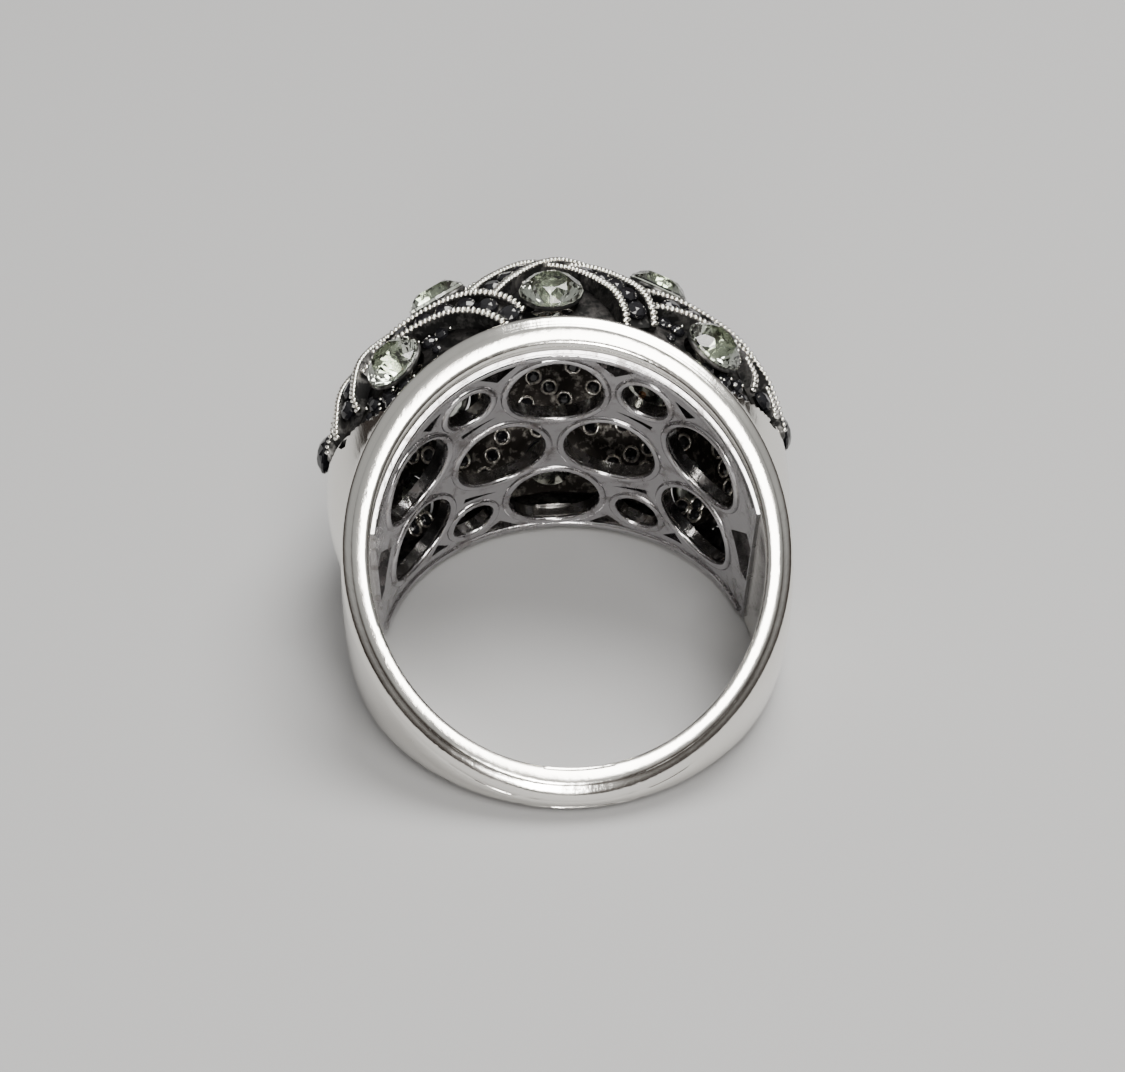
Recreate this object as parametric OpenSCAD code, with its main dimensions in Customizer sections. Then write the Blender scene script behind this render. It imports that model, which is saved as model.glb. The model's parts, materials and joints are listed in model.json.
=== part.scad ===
// Cocktail ring: a plain polished shank, a tall domed head woven from beaded
// ribbons of black stones, round crystals in the gaps, and an openwork gallery
// plate inside the finger hole.
//
// Modelling frame before it is laid down: the finger hole runs along Z, the head
// points along +Y. lay_down() then turns it so that it rests on its far rim.

/* [Finger hole and shank] */
// Diameter of the finger hole
bore_d = 18; // [17.8:0.1:18.2]
// Radius of the shank's outer circle
shank_r = 10.5; // [10.2:0.05:10.8]
// How far the outer circle sits above the finger hole's centre
shank_rise = 0.1; // [0:0.05:0.2]
// Half of the ring's width at the finger hole's centre
half_width = 4.8; // [4.6:0.1:5.2]
// Angle that each rim leans outwards towards the head
rim_lean = 21.2; // [20:0.1:22]

/* [Domed head] */
// Height of the dome's centre above the finger hole's centre
dome_y = 6.3; // [6:0.1:6.6]
// Distance from the dome's axis to the centre of its rounded section
dome_off = 2.8; // [2.6:0.1:3]
// Radius of the dome's rounded section, outside
dome_r = 7.8; // [7.6:0.1:8]
// Wall of the dome
dome_wall = 0.9; // [0.8:0.05:1]
// Angle round the dome between two columns of crystals
column_step = 32.5; // [32:0.1:33]
// Angle from the dome's crown to the row of crystals next to the rim
row_reach = 66; // [64:1:67]
// How much that angle shrinks by the outer columns, as a share of it
row_squeeze = 0.26; // [0.24:0.01:0.28]
// Height of the straight edge where the head stops and the shoulders start
head_end_y = 7.3; // [7:0.1:7.6]
// How far the shoulders stand above the dome there
shoulder_lift = 0.55; // [0.4:0.05:0.6]

/* [Ribbons] */
// Width of a ribbon over its two rails
ribbon_w = 1.8; // [1.6:0.1:1.9]
// Height of a rail above the dome
rail_h = 0.75; // [0.6:0.05:0.8]
// Width of a rail
rail_w = 0.34; // [0.3:0.02:0.4]
// Height of the channel's floor above the dome
floor_h = 0.25; // [0.2:0.05:0.3]
// Extra height of a ribbon where it passes over another
cross_lift = 0.25; // [0.1:0.05:0.3]

/* [Stones] */
// Diameter of a round crystal
crystal_d = 2.9; // [2.7:0.05:2.95]
// Height of a crystal's girdle above the dome
crystal_seat = 0.6; // [0.5:0.05:0.65]
// Diameter of a black stone in a ribbon
ribbon_stone_d = 1.05; // [1:0.01:1.1]
// Distance between two stones along a ribbon
ribbon_pitch = 1.14; // [1.12:0.01:1.3]
// Diameter of a small black stone round a crystal
pave_stone_d = 0.74; // [0.7:0.01:0.76]
// Distance between two of those small stones
pave_pitch = 0.8; // [0.78:0.01:0.9]
// Diameter of the round black stone at each end of the head
end_stone_d = 1.9; // [1.6:0.1:2]

/* [Gallery plate] */
// Radius of the plate's inner face
plate_in_r = 8.86; // [8.85:0.01:8.9]
// Radius of the plate's outer face
plate_out_r = 9.6; // [9.5:0.05:9.7]
// Width of the plain rim wall beside the plate
lip_w = 0.42; // [0.36:0.02:0.5]
// Diameter of the large openings
big_hole_d = 4.7; // [4.4:0.1:4.8]
// Diameter of the small openings
small_hole_d = 2.4; // [2.2:0.1:2.6]

/* [Hidden] */
$fn = 48;

bore_r = bore_d / 2;
big = 40;                        // larger than the whole ring
play = 0.03;                     // gap that keeps two fitted faces apart
plate_low_y = 1.4;               // lower end of the gallery plate
window_low_y = 3.0;              // lower end of the opening behind the plate
ledge_w = 1.7;                   // width of the rim outside the plate
shoulder_inset = 0.12;           // the shoulders stay this far behind the rims
dome_hub = 4.2;                  // the dome's wall is open round its axis
lines = [-3, -1, 1, 3];          // the ribbons of one family
shortest = 0.25;                 // shorter stretches of a ribbon are left out, in columns
end_column = 2.36;               // column of the stone at each end of the head
end_lift = 0.85;                 // height of its girdle above the dome
stone_gap = 0.1;                 // gap between a stone and its neighbour
seat_d = crystal_d - 0.7;        // opening through the dome under a crystal
collar_d = crystal_d - 0.14;     // collar of the casting that a crystal rests in
collar_drop = 0.18;              // the collar stops this far below the girdle
near_hole_z = 4.7;               // openings of the plate: angle from the middle, offset
mid_hole_angle = 17.8;
end_hole_angle = 51;
end_hole_z = 2.7;
small_hole_angle = 28;
small_hole_z = 5.05;
rim_slit = [18, 6.7];
mid_slit = [24.5, 3.1];
side_slit = [41.5, 5.65];
end_slit_angle = 73.5;
crown_share = 0.17;              // a cut stone's heights and widths, over its diameter
girdle_share = 0.05;
table_share = 0.56;
back_share = 0.42;
tip_share = 0.06;
small_crown_share = 0.16;        // the same for a small round stone
small_top_share = 0.6;
small_base = 0.12;               // height of its base in mm
ribbon_stone_rise = 0.25;        // its girdle above the channel's floor
pave_rise = 0.14;                // the same above the dome
rim_clear = 0.35;                // stones stay this far behind the rims
sink_share = 0.6;                // and reach this far into the shank, over their radius
cross_reach = 0.28;              // length of a ribbon's climb, in columns
rings_per_column = 5;            // sections of a ribbon's sweep
last_column = 2.52;              // where the ribbons stop, counted in columns
rim_row = 1.19;                  // where the ribbons meet the rim, counted in rows

// ---- the dome's own grid: column u runs left to right, row v far to near ----

function turn_at(u) = column_step * u;
function row_angle(u) =
    row_reach * (1 - row_squeeze * pow(u / 2, 2));
function lat_at(u, v) = v * row_angle(u);

// A point on the dome, lifted off its surface
function dome_point(u, v, lift = 0) =
    let (
        rho = dome_off + (dome_r + lift) * cos(lat_at(u, v)),
        t = turn_at(u)
    )
    [rho * sin(t), dome_y + rho * cos(t), (dome_r + lift) * sin(lat_at(u, v))];

// The outward direction there
function dome_normal(u, v) =
    let (lat = lat_at(u, v), t = turn_at(u))
    [cos(lat) * sin(t), cos(lat) * cos(t), sin(lat)];

function unit(a) = a / norm(a);

// Rests the ring on its far rim
module lay_down() {
    rotate([rim_lean, 0, 0]) children();
}

// Places a piece on the dome with its own Z pointing outwards
module on_dome(u, v, lift = 0) {
    translate([0, dome_y, 0])
        rotate([0, 0, -turn_at(u)])
            translate([0, dome_off, 0])
                rotate([lat_at(u, v) - 90, 0, 0])
                    translate([0, 0, dome_r + lift]) children();
}

// Everything between the two leaning rim planes, moved inwards by inset
module between_rims(inset, low_y) {
    reach = big / 2;
    k = tan(rim_lean);
    w = half_width - inset;
    rotate([0, 90, 0])
        linear_extrude(height = big, center = true)
            polygon([
                [w + k * low_y, low_y], [w + k * reach, reach],
                [-w - k * reach, reach], [-w - k * low_y, low_y]
            ]);
}

// The dome's wall: a round section turned about an axis beside the finger hole
module dome_wall_solid(lift = 0) {
    translate([0, dome_y, 0])
        rotate_extrude()
            intersection() {
                translate([dome_off, 0]) difference() {
                    circle(dome_r + lift);
                    circle(dome_r - dome_wall);
                }
                translate([dome_hub, -big / 2]) square([dome_off + dome_r + lift, big]);
            }
}

module shank_disc() {
    translate([0, shank_rise, 0]) cylinder(h = big, r = shank_r, center = true);
}

// ---- the metal ----

module shank_hoop() {
    difference() {
        intersection() {
            shank_disc();
            between_rims(0, -shank_r - 1);
        }
        intersection() {
            cylinder(h = big, r = shank_r + 1, center = true);
            between_rims(ledge_w, window_low_y);
        }
    }
}

// The polished shoulders carry the dome's curve down to the shank
module shoulders() {
    intersection() {
        dome_wall_solid(shoulder_lift);
        between_rims(shoulder_inset, 0);
        translate([-big / 2, 0, -big / 2]) cube([big, head_end_y, big]);
    }
}

module band() {
    color("silver") lay_down() difference() {
        union() {
            shank_hoop();
            shoulders();
        }
        cylinder(h = big, r = bore_r, center = true);
        intersection() {
            cylinder(h = big, r = plate_out_r, center = true);
            between_rims(lip_w, plate_low_y);
        }
    }
}

// Cuts a round opening through the plate at an angle from the head's middle
module plate_hole(angle, z, d) {
    rotate([0, 0, -angle]) translate([0, bore_r, z])
        rotate([90, 0, 0]) cylinder(h = 4, d = d, center = true);
}

// Cuts an opening with straight sides; points are [along the curve, along Z]
module plate_slit(angle, z, points) {
    rotate([0, 0, -angle]) translate([0, bore_r, z])
        rotate([90, 0, 0]) linear_extrude(height = 4, center = true) polygon(points);
}

module plate_openings() {
    for (side = [-1, 1]) {
        plate_hole(0, side * near_hole_z, big_hole_d);
        plate_hole(side * mid_hole_angle, 0, big_hole_d);
        for (face = [-1, 1]) {
            plate_hole(side * end_hole_angle, face * end_hole_z, big_hole_d);
            plate_hole(side * small_hole_angle, face * small_hole_z, small_hole_d);
            plate_slit(side * rim_slit[0], face * rim_slit[1],
                [[-side * 1.0, face * 0.55], [side * 1.1, face * 0.4], [0, -face * 0.45]]);
            plate_slit(side * mid_slit[0], face * mid_slit[1],
                [[-side * 0.9, face * 0.3], [side * 1.0, -face * 0.05], [side * 0.9, -face * 0.35]]);
            plate_slit(side * side_slit[0], face * side_slit[1],
                [[-side * 0.6, face * 0.45], [side * 0.6, face * 0.15], [side * 0.1, -face * 0.4]]);
        }
        plate_slit(side * end_slit_angle, 0,
            [[-side * 1.1, 0], [side * 0.3, 1.8], [side * 1.0, 1.5], [side * 1.0, -1.5], [side * 0.3, -1.8]]);
    }
}

module gallery_plate() {
    color("lightgray") lay_down() difference() {
        intersection() {
            cylinder(h = big, r = plate_out_r - play, center = true);
            between_rims(lip_w + play, plate_low_y + play);
        }
        cylinder(h = big, r = plate_in_r, center = true);
        plate_openings();
    }
}

// The space above the straight edge where the shoulders stop
module above_shoulders(gap) {
    translate([-big / 2, head_end_y + gap, -big / 2]) cube(big);
}

// The dome's casting, with a collar under each crystal cut to fit its pointed back
module head_shell() {
    color("dimgray") lay_down() difference() {
        union() {
            intersection() {
                dome_wall_solid();
                above_shoulders(0);
            }
            for (at = crystal_places()) on_dome(at[0], at[1], -dome_wall / 2)
                cylinder(h = dome_wall / 2 + crystal_seat - collar_drop, d = collar_d);
        }
        shank_disc();
        for (at = crystal_places()) {
            on_dome(at[0], at[1], -dome_wall / 2)
                cylinder(h = dome_wall * 2, d = seat_d, center = true);
            on_dome(at[0], at[1], crystal_seat - play) stone_back(crystal_d, 48);
        }
    }
}

// ---- ribbons ----

// A ribbon of a family keeps 2v - family * u at the value of its line
function ribbon_row(family, line, u) = (family * u + line) / 2;

// Where a ribbon's middle line starts and ends, in columns
function first_column(family, line) =
    max(-last_column, family > 0 ? -2 * rim_row - line : line - 2 * rim_row);
function final_column(family, line) =
    min(last_column, family > 0 ? 2 * rim_row - line : line + 2 * rim_row);

// The two families take turns in passing over each other
function passes_over(family, line, other) =
    ((line + other) / 2) % 2 == 0 ? family > 0 : family < 0;
function crossing_column(family, line, other) = family * (other - line) / 2;

// Lift of a ribbon: it climbs where it passes over another
function ribbon_lift(family, line, u) =
    max([for (other = lines)
        let (d = (u - crossing_column(family, line, other)) / cross_reach)
        passes_over(family, line, other) ? cross_lift * exp(-d * d) : 0]);

// The columns where another ribbon lies over this one, left to right
function cuts(family, line) =
    [for (k = [0:3])
        let (other = family > 0 ? lines[k] : lines[3 - k], c = crossing_column(family, line, other))
        if (!passes_over(family, line, other)
            && c > first_column(family, line) && c < final_column(family, line)) c];

// Half of the gap that a ribbon leaves there for the other
function cut_half(family, line, c) =
    (ribbon_w / 2 + play) / line_pitch([c, ribbon_row(family, line, c)]);

// The stretches of a ribbon, from column to column
function stretches(family, line) =
    let (
        at = cuts(family, line),
        starts = concat([first_column(family, line)],
            [for (c = at) c + cut_half(family, line, c)]),
        stops = concat([for (c = at) c - cut_half(family, line, c)],
            [final_column(family, line)])
    )
    [for (i = [0:len(starts) - 1]) if (stops[i] - starts[i] > shortest) [starts[i], stops[i]]];

// Unit direction of a family's lines at a place
function line_way(family, at) =
    unit(dome_point(at[0] + 0.01, at[1] + family * 0.005)
        - dome_point(at[0] - 0.01, at[1] - family * 0.005));

// Two rails with a channel between them, from column u0 to column u1. Each ring
// of the sweep lies along the other family, so that cut ends fit the ribbon above.
module ribbon_stretch(family, line, u0, u1) {
    w = ribbon_w / 2;
    e = w - rail_w;
    low = -play;
    section = [
        [-w, low], [-e, low], [e, low], [w, low], [w, rail_h],
        [e, rail_h], [e, floor_h], [-e, floor_h], [-e, rail_h], [-w, rail_h]
    ];
    caps = [[9, 8, 7, 1, 0], [7, 6, 2, 1], [6, 5, 4, 3, 2]];
    n = len(section);
    rings = max(1, ceil((u1 - u0) * rings_per_column));
    points = [for (i = [0:rings])
        let (
            u = u0 + (u1 - u0) * i / rings,
            at = [u, ribbon_row(family, line, u)],
            up = dome_normal(at[0], at[1]),
            side = cross(line_way(family, at), up),
            skew = -family * line_way(-family, at),
            across = skew / (skew * side),
            lift = ribbon_lift(family, line, u)
        )
        for (q = section)
            dome_point(at[0], at[1]) + q[0] * across + (q[1] + (q[1] > 0 ? lift : 0)) * up];
    skin = [for (i = [0:rings - 1], j = [0:n - 1])
        let (a = i * n + j, b = i * n + (j + 1) % n)
        [a, b, b + n, a + n]];
    last = rings * n;
    ends = concat(caps, [for (face = caps)
        [for (i = [len(face) - 1:-1:0]) face[i] + last]]);
    polyhedron(points, concat(skin, ends), convexity = 8);
}

module ribbon(family, line) {
    color("gainsboro") lay_down() intersection() {
        for (stretch = stretches(family, line))
            ribbon_stretch(family, line, stretch[0], stretch[1]);
        above_shoulders(play);
    }
}

// ---- stones ----

// A round stone: crown, girdle and point, cut with facets round it
module cut_stone(d, facets) {
    girdle = d * girdle_share;
    cylinder(h = d * crown_share, d1 = d, d2 = d * table_share, $fn = facets);
    translate([0, 0, -girdle]) cylinder(h = girdle, d = d, $fn = facets);
    translate([0, 0, -girdle]) stone_back(d, facets);
}

// The pointed back of a cut stone, its wide end at the top
module stone_back(d, facets) {
    translate([0, 0, -d * back_share])
        cylinder(h = d * back_share, d1 = d * tip_share, d2 = d, $fn = facets);
}

// A small black stone, plain and round
module small_stone(d) {
    cylinder(h = d * small_crown_share, d1 = d, d2 = d * small_top_share);
    translate([0, 0, -small_base]) cylinder(h = small_base, d = d);
}

// Each place is [u, v]; distances are measured in mm over the dome
function gap(a, b) = norm(dome_point(a[0], a[1]) - dome_point(b[0], b[1]));
function in_head(at, reach) =
    let (p = dome_point(at[0], at[1]))
    p[1] > head_end_y + reach
    && abs(p[2]) < half_width + tan(rim_lean) * p[1] - reach - rim_clear
    && norm([p[0], p[1] - shank_rise]) > shank_r + reach * sink_share;

// Columns where stones sit along a ribbon, one pitch apart over the dome
function along(family, line, u) = dome_point(u, ribbon_row(family, line, u));
function stone_columns(family, line, u, u1) =
    let (
        step = 0.01,
        speed = norm(along(family, line, u + step) - along(family, line, u)) / step,
        next = u + ribbon_pitch / speed
    )
    next > u1 ? [u] : concat([u], stone_columns(family, line, next, u1));

function on_stretch(family, line, u) =
    max([for (part = stretches(family, line)) u > part[0] && u < part[1] ? 1 : 0]) > 0;

// Those places, less the ones under a ribbon that passes over
function ribbon_stone_places(family, line) =
    [for (u = stone_columns(family, line, first_column(family, line), final_column(family, line)))
        let (
            at = [u, ribbon_row(family, line, u)],
            clear = min([for (other = lines)
                let (c = crossing_column(family, line, other))
                passes_over(family, line, other)
                    ? big : gap(at, [c, ribbon_row(family, line, c)])])
        )
        if (on_stretch(family, line, u) && in_head(at, ribbon_stone_d / 2)
            && clear > (ribbon_w + ribbon_stone_d) / 2 + stone_gap) at];

module ribbon_stones(family, line) {
    color("black") lay_down()
        for (at = ribbon_stone_places(family, line))
            on_dome(at[0], at[1], floor_h + ribbon_stone_rise + ribbon_lift(family, line, at[0]))
                small_stone(ribbon_stone_d);
}

// Crystals sit in the middle of the cells between the ribbons
function crystal_places() = concat(
    [[0, 0]],
    [for (face = [-1, 1], u = [-2, 0, 2]) [u, face]],
    [for (face = [-1, 1], u = [-1, 1]) [u, face / 2]]
);

module crystal(u, v) {
    color("darkseagreen") lay_down()
        on_dome(u, v, crystal_seat + crystal_d * girdle_share) cut_stone(crystal_d, 8);
}

// Small stones stand in rings round a cell's middle, where no ribbon is in the way
function ring_radius(ring, hub) = hub + ring * pave_pitch;
function ring_count(r) = max(1, floor(2 * PI * r / (pave_pitch + 0.02)));
function beside(u, v, r, angle) =
    [u + r * cos(angle) / width_per_column([u, v]), v + r * sin(angle) / width_per_row([u, v])];
function pave_places(u, v) =
    let (hub = (abs(u) == 2 && v == 0) ? 0 : (crystal_d + pave_stone_d) / 2 + stone_gap)
    [for (ring = [0:3])
        let (r = ring_radius(ring, hub), count = ring_count(r))
        for (i = [1:count])
            let (at = beside(u, v, r, i * 360 / count))
            if (in_cell(at, u, v) && cell_clear(at) && in_head(at, pave_stone_d / 2)) at];

// A cell ends half-way to its neighbours
function in_cell(at, u, v) =
    max(abs(2 * (at[1] - v) - (at[0] - u)), abs(2 * (at[1] - v) + (at[0] - u))) < 1;

// Millimetres over the dome for one column and for one row
function width_per_column(at) = norm(dome_point(at[0] + 0.01, at[1]) - dome_point(at[0], at[1])) / 0.01;
function width_per_row(at) = norm(dome_point(at[0], at[1] + 0.01) - dome_point(at[0], at[1])) / 0.01;

// A place is clear when it touches no ribbon
function cell_clear(at) =
    min([for (family = [-1, 1], line = lines)
        abs(2 * at[1] - family * at[0] - line) * line_pitch(at) / 2])
    > (ribbon_w + pave_stone_d) / 2;

// Distance between neighbouring ribbons of one family, near a place
function line_pitch(at) =
    let (across = width_per_column(at), along = width_per_row(at))
    2 * across * along / norm([2 * across, along]);

module pave(u, v) {
    color("black") lay_down()
        for (at = pave_places(u, v))
            on_dome(at[0], at[1], pave_rise) small_stone(pave_stone_d);
}

module end_stone(side) {
    color("black") lay_down()
        on_dome(side * end_column, 0, end_lift) cut_stone(end_stone_d, 8);
}

// ---- one module per node ----

band();
gallery_plate();
head_shell();
ribbon(1, -3);  // ribbon_rising_1
ribbon(1, -1);  // ribbon_rising_2
ribbon(1, 1);  // ribbon_rising_3
ribbon(1, 3);  // ribbon_rising_4
ribbon(-1, -3);  // ribbon_falling_1
ribbon(-1, -1);  // ribbon_falling_2
ribbon(-1, 1);  // ribbon_falling_3
ribbon(-1, 3);  // ribbon_falling_4
ribbon_stones(1, -3);  // stones_rising_1
ribbon_stones(1, -1);  // stones_rising_2
ribbon_stones(1, 1);  // stones_rising_3
ribbon_stones(1, 3);  // stones_rising_4
ribbon_stones(-1, -3);  // stones_falling_1
ribbon_stones(-1, -1);  // stones_falling_2
ribbon_stones(-1, 1);  // stones_falling_3
ribbon_stones(-1, 3);  // stones_falling_4
crystal(0, 0);  // crystal_crown
crystal(0, 1);  // crystal_near_centre
crystal(0, -1);  // crystal_far_centre
crystal(-2, 1);  // crystal_near_left
crystal(2, 1);  // crystal_near_right
crystal(-2, -1);  // crystal_far_left
crystal(2, -1);  // crystal_far_right
crystal(-1, 0.5);  // crystal_mid_near_left
crystal(1, 0.5);  // crystal_mid_near_right
crystal(-1, -0.5);  // crystal_mid_far_left
crystal(1, -0.5);  // crystal_mid_far_right
pave(0, 0);  // pave_crown
pave(0, 1);  // pave_near_centre
pave(0, -1);  // pave_far_centre
pave(-2, 1);  // pave_near_left
pave(2, 1);  // pave_near_right
pave(-2, -1);  // pave_far_left
pave(2, -1);  // pave_far_right
pave(-1, 0.5);  // pave_mid_near_left
pave(1, 0.5);  // pave_mid_near_right
pave(-1, -0.5);  // pave_mid_far_left
pave(1, -0.5);  // pave_mid_far_right
pave(-2, 0);  // pave_left_end
pave(2, 0);  // pave_right_end
end_stone(-1);  // end_stone_left
end_stone(1);  // end_stone_right
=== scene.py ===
# %% [markdown]
# # A domed cocktail ring
# A polished shank carries a tall dome. Beaded ribbons of black stones are woven
# over the dome, a round crystal sits in each gap, and an openwork gallery plate
# closes the dome from inside the finger hole. The ring lies on its far rim.

# %% Load the frame and keep its box
import json
import math
import random

import bmesh
import bpy
from mathutils import Matrix, Vector


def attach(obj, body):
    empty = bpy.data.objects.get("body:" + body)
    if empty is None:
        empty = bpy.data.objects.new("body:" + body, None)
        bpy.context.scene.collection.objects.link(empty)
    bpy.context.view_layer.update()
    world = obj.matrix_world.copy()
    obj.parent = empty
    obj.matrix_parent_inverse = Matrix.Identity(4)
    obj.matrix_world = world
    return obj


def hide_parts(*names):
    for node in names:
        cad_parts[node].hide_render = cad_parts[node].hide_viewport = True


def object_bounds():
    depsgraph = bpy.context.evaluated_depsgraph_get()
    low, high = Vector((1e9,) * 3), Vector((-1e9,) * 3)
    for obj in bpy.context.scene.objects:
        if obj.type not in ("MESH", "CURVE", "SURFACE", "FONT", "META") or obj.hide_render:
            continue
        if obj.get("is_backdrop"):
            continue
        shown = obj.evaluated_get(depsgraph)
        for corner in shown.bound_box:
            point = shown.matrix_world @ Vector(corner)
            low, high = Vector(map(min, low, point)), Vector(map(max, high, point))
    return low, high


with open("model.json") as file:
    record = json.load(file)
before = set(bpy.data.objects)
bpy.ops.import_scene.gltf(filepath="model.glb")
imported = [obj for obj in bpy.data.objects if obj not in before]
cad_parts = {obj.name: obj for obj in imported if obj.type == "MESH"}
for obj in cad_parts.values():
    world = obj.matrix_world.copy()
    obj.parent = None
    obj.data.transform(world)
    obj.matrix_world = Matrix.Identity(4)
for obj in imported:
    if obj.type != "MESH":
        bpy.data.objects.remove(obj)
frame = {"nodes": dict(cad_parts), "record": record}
cad_box = [list(corner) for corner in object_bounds()]
print("frame box in mm:", [[round(v * 1000, 2) for v in corner] for corner in cad_box])

# %% [markdown]
# ## Bench measurements
# A ring is easiest to draw upright: finger hole along Z, head towards +Y, in
# millimetres. `laid` then turns a drawn point the way the ring lies. The lean
# comes from the frame's own finger hole, so drawing and frame can't drift apart.

# %% Finger hole, lean and the two rims
hole = next(m for m in frame["record"]["mounts"] if m["name"] == "finger_bore")
HOLE_R = hole["dims"]["r_mm"]
LEAN = math.atan2(-hole["axis"][1], hole["axis"][2])
SLOPE = math.tan(LEAN)
HALF_WIDTH = 4.8
SHANK_R = 10.5
SHANK_RISE = 0.1


def laid(x, y, z):
    c, s = math.cos(LEAN), math.sin(LEAN)
    return Vector((x, y * c - z * s, y * s + z * c)) / 1000


def turned(v):
    return Matrix.Rotation(LEAN, 3, "X") @ Vector(v)


def rim_at(y, inset=0.0):
    return HALF_WIDTH - inset + SLOPE * y


print("finger hole radius", HOLE_R, "mm, lean", round(math.degrees(LEAN), 1), "degrees")

# %% The dome and its grid of columns and rows
DOME_Y, DOME_OFF, DOME_R, DOME_WALL = 6.3, 2.8, 7.8, 0.9
COLUMN_STEP, ROW_REACH, ROW_SQUEEZE = 32.5, 66.0, 0.26
HEAD_END_Y = 7.3
LINES = (-3, -1, 1, 3)
LAST_COLUMN, RIM_ROW = 2.52, 1.19


def angles_at(u, v):
    reach = ROW_REACH * (1 - ROW_SQUEEZE * (u / 2) ** 2)
    return math.radians(COLUMN_STEP * u), math.radians(v * reach)


def shell_point(turn, lat, lift=0.0):
    rho = DOME_OFF + (DOME_R + lift) * math.cos(lat)
    return Vector((rho * math.sin(turn), DOME_Y + rho * math.cos(turn), (DOME_R + lift) * math.sin(lat)))


def dome_point(u, v, lift=0.0):
    return shell_point(*angles_at(u, v), lift)


def dome_up(u, v):
    turn, lat = angles_at(u, v)
    return Vector((math.cos(lat) * math.sin(turn), math.cos(lat) * math.cos(turn), math.sin(lat)))


print("crown of the dome at", [round(v, 2) for v in dome_point(0, 0)])

# %% [markdown]
# ## One way to place a piece
# Every finished piece has its place in its mesh, rides on the ring's only body,
# and stands for its plain frame nodes, which it hides.


# %% Helpers for pieces
def mesh_piece(name, points, faces, material=None, smooth=True):
    mesh = bpy.data.meshes.new(name)
    mesh.from_pydata([laid(*p) for p in points], [], faces)
    bm = bmesh.new()
    bm.from_mesh(mesh)
    bmesh.ops.remove_doubles(bm, verts=bm.verts, dist=2e-7)
    bmesh.ops.recalc_face_normals(bm, faces=bm.faces)
    for face in bm.faces:
        face.smooth = smooth
    bm.to_mesh(mesh)
    bm.free()
    piece = bpy.data.objects.new(name, mesh)
    bpy.context.scene.collection.objects.link(piece)
    if material:
        mesh.materials.append(material)
    return piece


def hand_in(piece, finish, *nodes):
    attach(piece, "root")
    if nodes:
        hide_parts(*nodes)
    return piece


def keep_corners(piece, degrees):
    """Smooth shading, with edges sharper than this left crisp."""
    bm = bmesh.new()
    bm.from_mesh(piece.data)
    for edge in bm.edges:
        edge.smooth = len(edge.link_faces) == 2 and edge.calc_face_angle() < math.radians(degrees)
    bm.to_mesh(piece.data)
    bm.free()


def add(tree, kind, **settings):
    node = tree.nodes.new(kind)
    for key, value in settings.items():
        setattr(node, key, value)
    return node


def connect(tree, rows):
    """Joins sockets; each row is a node, its output, another node and its input."""
    for start, output, end, entry in rows:
        tree.links.new(start.outputs[output], end.inputs[entry])


def geometry_tree(name, inputs):
    """An empty Geometry Nodes tree with named inputs beside the geometry itself."""
    tree = bpy.data.node_groups.new(name, "GeometryNodeTree")
    face = tree.interface
    face.new_socket("Geometry", in_out="INPUT", socket_type="NodeSocketGeometry")
    for label, kind, value in inputs:
        socket = face.new_socket(label, in_out="INPUT", socket_type="NodeSocket" + kind)
        if value is not None:
            socket.default_value = value
    face.new_socket("Geometry", in_out="OUTPUT", socket_type="NodeSocketGeometry")
    return tree


def set_input(modifier, tree, **values):
    """Sets a Geometry Nodes modifier's inputs, by the identifier of each socket."""
    for item in tree.interface.items_tree:
        if item.item_type == "SOCKET" and item.in_out == "INPUT" and item.name in values:
            modifier[item.identifier] = values[item.name]


def bake_tree(piece, tree, **values):
    """Runs a tree on a guide object and gives back the result as a plain mesh."""
    modifier = piece.modifiers.new(tree.name, "NODES")
    modifier.node_group = tree
    set_input(modifier, tree, **values)
    bpy.context.view_layer.update()
    evaluated = piece.evaluated_get(bpy.context.evaluated_depsgraph_get())
    mesh = bpy.data.meshes.new_from_object(evaluated)
    piece.modifiers.remove(modifier)
    piece.data = mesh
    mesh.name = piece.name
    return piece


# %% [markdown]
# ## Finishes
# Plated metal is never one even tone: fine wear makes its gloss wander, and dark
# tarnish lies in patches spread at random. Both effects are shared by several
# finishes, so each is a node group that puts out a mask or a value.


# %% A small kit for shader trees
def shader_group(name, inputs, outputs):
    group = bpy.data.node_groups.new(name, "ShaderNodeTree")
    for label, kind, value in inputs:
        socket = group.interface.new_socket(label, in_out="INPUT", socket_type=kind)
        socket.default_value = value
    for label, kind in outputs:
        group.interface.new_socket(label, in_out="OUTPUT", socket_type=kind)
    start = group.nodes.new("NodeGroupInput")
    end = group.nodes.new("NodeGroupOutput")
    return group, start, end


def math_node(tree, operation, a, b=None):
    node = tree.nodes.new("ShaderNodeMath")
    node.operation = operation
    for socket, value in zip(node.inputs, (a, b)):
        if value is None:
            continue
        if isinstance(value, (int, float)):
            socket.default_value = value
        else:
            tree.links.new(value, socket)
    return node.outputs[0]


def spread(tree, value, low, high, to_low, to_high):
    node = tree.nodes.new("ShaderNodeMapRange")
    tree.links.new(value, node.inputs["Value"])
    for label, number in (("From Min", low), ("From Max", high), ("To Min", to_low), ("To Max", to_high)):
        if isinstance(number, (int, float)):
            node.inputs[label].default_value = number
        else:
            tree.links.new(number, node.inputs[label])
    return node.outputs["Result"]


def two_tones(tree, mask, first, second, shader):
    """Base colour that goes from one tone to the other as the mask rises."""
    tone = add(tree, "ShaderNodeMix", data_type="RGBA")
    tone.inputs[6].default_value = (*first, 1)
    tone.inputs[7].default_value = (*second, 1)
    tree.links.new(mask, tone.inputs["Factor"])
    tree.links.new(tone.outputs[2], shader.inputs["Base Color"])


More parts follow.
